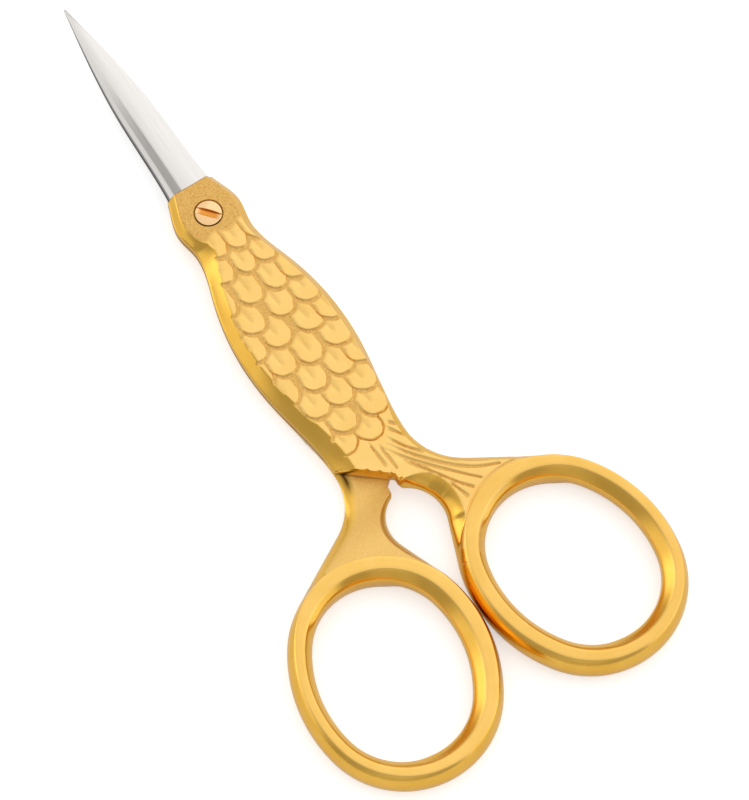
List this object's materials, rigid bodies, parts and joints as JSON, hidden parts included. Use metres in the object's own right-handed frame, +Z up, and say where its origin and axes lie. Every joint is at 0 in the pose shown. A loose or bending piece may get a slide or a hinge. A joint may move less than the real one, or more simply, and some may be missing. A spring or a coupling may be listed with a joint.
{
  "type": "embroidery scissors",
  "caption": "Small embroidery scissors with gilt, scale-patterned handles, oval finger rings and slim pointed steel blades, opening on a slotted pivot screw.",
  "frame": {"origin": "on the pivot axis, at the centre of the screw's flat end, in the plane that the closed scissors lie on", "axes": "+Y from the pivot to the blade tips, +Z up along the pivot axis towards the screw head, +X towards the front half's finger ring"},
  "size_m": [0.0408, 0.09, 0.0036],
  "materials": {
    "blade_steel": "satin nickel, with fine streaks along the blade",
    "gilding": "gold plate: polished rims and ring walls, satin flats, stippled ground between the scales",
    "screw_gilding": "polished rose-gold plate"
  },
  "bodies": {
    "back_half": {"back_handle": "gilding", "back_blade": "blade_steel", "pivot_screw": "screw_gilding"},
    "front_half": {"front_handle": "gilding", "front_blade": "blade_steel"}
  },
  "joints": [
    {"name": "blade_pivot", "type": "hinge", "parent": "back_half", "child": "front_half", "pos_m": [0, 0, 0.0018], "axis": [0, 0, 1], "range_deg": [0, 60]}
  ]
}
